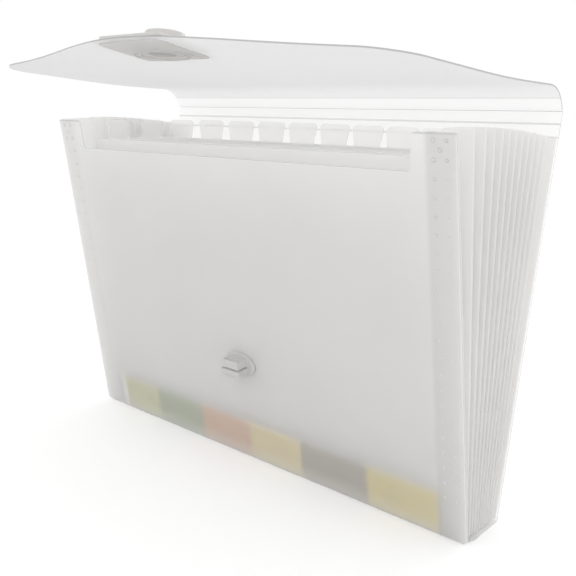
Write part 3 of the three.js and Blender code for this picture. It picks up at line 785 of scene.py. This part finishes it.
def make_clasp():
    under = COVER_THICKNESS + GAP
    plate = corner_block(*CLASP_SLAB, SLAB_REACH, SLAB_CORNER, GAP, GAP + PLATE_THICKNESS)
    oval_ring(plate, *OUTER_RING, GAP + 0.4, GAP + 1.9)
    oval_ring(plate, *INNER_RING, GAP + 0.4, GAP + 2.2)
    walls = (CLASP_OPENING[0] + 2 * OPENING_WALL, CLASP_OPENING[1] + 2 * OPENING_WALL)
    combine(plate, oval_block(*walls, -under, GAP + 1.2), "UNION")
    finish_clasp_piece(plate, "clasp_under_plate", "clasp_plate", 0.3)
    top = -under - GAP
    cap = corner_block(*CLASP_CAP_SLAB, SLAB_REACH, SLAB_CORNER, top - CAP_THICKNESS, top)
    combine(cap, oval_block(*TURRET, top - TURRET_HEIGHT, top - 0.4), "UNION")
    finish_clasp_piece(cap, "clasp_top_cap", "clasp_cap", 0.45)


# Weld dots: low domes with a pressed rim, in columns up both ends of the front and back panels

DOT_RADIUS = 1.35
DOT_PITCH = 9.2
DOT_ROWS = 22
LOWEST_DOT = 25.7
OUTER_COLUMN = 159.4
INNER_COLUMN = 152.2


def dot_master():
    bpy.ops.object.select_all(action="DESELECT")
    bpy.ops.mesh.primitive_circle_add(vertices=12, radius=DOT_RADIUS * MM, fill_type="NGON")
    dot = bpy.context.object
    bpy.ops.object.mode_set(mode="EDIT")
    bpy.ops.mesh.select_all(action="SELECT")
    for shrink, lift in ((0.82, 0.16), (0.8, -0.07), (0.7, 0.16), (0.45, 0.08)):
        bpy.ops.mesh.extrude_region_move(TRANSFORM_OT_translate={"value": (0, 0, lift * MM)})
        bpy.ops.transform.resize(value=(shrink, shrink, 1), center_override=(0, 0, 0))
    bpy.ops.object.mode_set(mode="OBJECT")
    reach = dot.data.uv_layers.active or dot.data.uv_layers.new(name="reach")
    for corner in dot.data.loops:
        place = dot.data.vertices[corner.vertex_index].co
        reach.data[corner.index].uv = (place.xy.length / (DOT_RADIUS * MM), 0.5)
    return dot


# Two columns, full size in the two top rows, and one dot in the middle of the top four
def dot_places():
    for row in range(DOT_ROWS):
        height = LOWEST_DOT + DOT_PITCH * row
        at_top = row >= DOT_ROWS - 2
        yield INNER_COLUMN, height, 1.0 if at_top else 0.8
        yield OUTER_COLUMN, height, 0.9 if at_top else 0.5
    yield (INNER_COLUMN + OUTER_COLUMN) / 2, LOWEST_DOT + DOT_PITCH * (DOT_ROWS - 1.5), 1.0


def panel_frame(lean, y):
    up = Vector((0, math.sin(lean), math.cos(lean)))
    across = Vector((1, 0, 0)) if y < 0 else Vector((-1, 0, 0))
    turn = Matrix((across, up, across.cross(up))).transposed().to_4x4()
    return Matrix.Translation(Vector((0, y, 0)) * MM) @ turn


def make_weld_dots(name, lean, y):
    master = dot_master()
    frame_of_panel = panel_frame(lean, y)
    dots = []
    for x, height, size in dot_places():
        for side in (-1, 1):
            dot = master.copy()
            dot.data = master.data.copy()
            bpy.context.scene.collection.objects.link(dot)
            shift = Matrix.Translation(Vector((side * x, height, -0.02)) * MM)
            dot.matrix_world = frame_of_panel @ shift @ Matrix.Diagonal((size, size, size, 1))
            dots.append(dot)
    bpy.data.objects.remove(master)
    bpy.ops.object.select_all(action="DESELECT")
    for dot in dots:
        dot.select_set(True)
    bpy.context.view_layer.objects.active = dots[0]
    bpy.ops.object.transform_apply(location=True, rotation=True, scale=True)
    bpy.ops.object.join()
    joined = bpy.context.object
    joined.name = joined.data.name = name
    bpy.ops.object.transform_apply(location=True, rotation=True, scale=True)
    bpy.ops.object.shade_smooth_by_angle(angle=math.radians(50))
    dress(joined, DOT_FINISH)
    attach(joined, "folder")
    return joined


# A weld dot's colour is a light core, a painted highlight, in a darker ring of painted shade over its pressed
# rim; the painted shade fades towards the bottom
def dot_material():
    material, tree = new_material("weld_dot")
    place = put(tree, "ShaderNodeTexCoord").outputs
    reach = split(tree, place["UV"])[0]
    height = split(tree, place["Object"])[2]
    # Painted shade in the ring over the pressed rim, stronger higher up
    ring = use_group(tree, LINE, {"Value": reach, "Centre": 0.74, "Half width": 0.26})["Mask"]
    strength = ramp_between(tree, height, 0.05, 0.215, 0.2, 0.55)
    # Painted highlight in the white core, painted shade in the grey ring
    colour = blend_colours(tree, sums(tree, "MULTIPLY", ring, strength), grey(1.0), grey(0.5))
    milky(tree, colour, None, None, 0.7, 0.1)
    return material


DOT_FINISH = dot_material()


# The whole folder

dress(NODES["cover"], COVER_FINISH)
dress(NODES["label_card"], CARD_FINISH)
dress(NODES["stud_washer"], STUD_FINISH)
make_flap()
make_gusset("pleated_gusset_left", -1)
make_gusset("pleated_gusset_right", 1)
for divider_index in range(1, POCKETS):
    make_divider(divider_index)
make_stud()
make_clasp()
make_weld_dots("weld_dots_front", -FRONT_LEAN, -BASE_DEPTH / 2)
make_weld_dots("weld_dots_back", BACK_LEAN, BASE_DEPTH / 2)


# Floor, surroundings and light

FLOOR_WHITENING = 0.2
WORLD_LIGHT = 1.0


def make_floor():
    bpy.ops.object.select_all(action="DESELECT")
    bpy.ops.mesh.primitive_plane_add(size=14, location=(0, 0, -0.0004))
    floor = bpy.context.object
    floor.name = "floor"
    material, tree = new_material("pale_floor")
    seen = put(tree, "ShaderNodeLightPath").outputs
    watched = sums(tree, "MAXIMUM", seen["Is Camera Ray"], seen["Is Glossy Ray"])
    paper = put(tree, "ShaderNodeBsdfDiffuse", {"Color": grey(0.9)})
    whitening = put(tree, "ShaderNodeEmission", {"Color": (1, 1, 1, 1)})
    tree.links.new(sums(tree, "MULTIPLY", watched, FLOOR_WHITENING), whitening.inputs["Strength"])
    both = put(tree, "ShaderNodeAddShader", {0: paper.outputs[0], 1: whitening.outputs[0]})
    put(tree, "ShaderNodeOutputMaterial", {"Surface": both.outputs[0]})
    dress(floor, material)


def make_surroundings():
    world = bpy.data.worlds.new("studio")
    bpy.context.scene.world = world
    world.use_nodes = True
    tree = world.node_tree
    tree.nodes.clear()
    sky = put(tree, "ShaderNodeBackground", {"Color": (1, 1, 1, 1), "Strength": WORLD_LIGHT})
    put(tree, "ShaderNodeOutputWorld", {"Surface": sky.outputs[0]})


def add_lamp(name, place, aim, size, power):
    data = bpy.data.lights.new(name, "AREA")
    data.shape = "SQUARE"
    data.size = size
    data.energy = power
    lamp = bpy.data.objects.new(name, data)
    bpy.context.scene.collection.objects.link(lamp)
    lamp.location = place
    lamp.rotation_euler = (Vector(aim) - Vector(place)).to_track_quat("-Z", "Y").to_euler()


make_floor()
make_surroundings()
add_lamp("back_light", (0.2, 1.9, 0.7), (0, 0, 0.15), 1.2, 7)

scene = bpy.context.scene
scene.view_settings.view_transform = "Standard"
scene.cycles.max_bounces = 16
scene.cycles.diffuse_bounces = 9
scene.cycles.transparent_max_bounces = 32
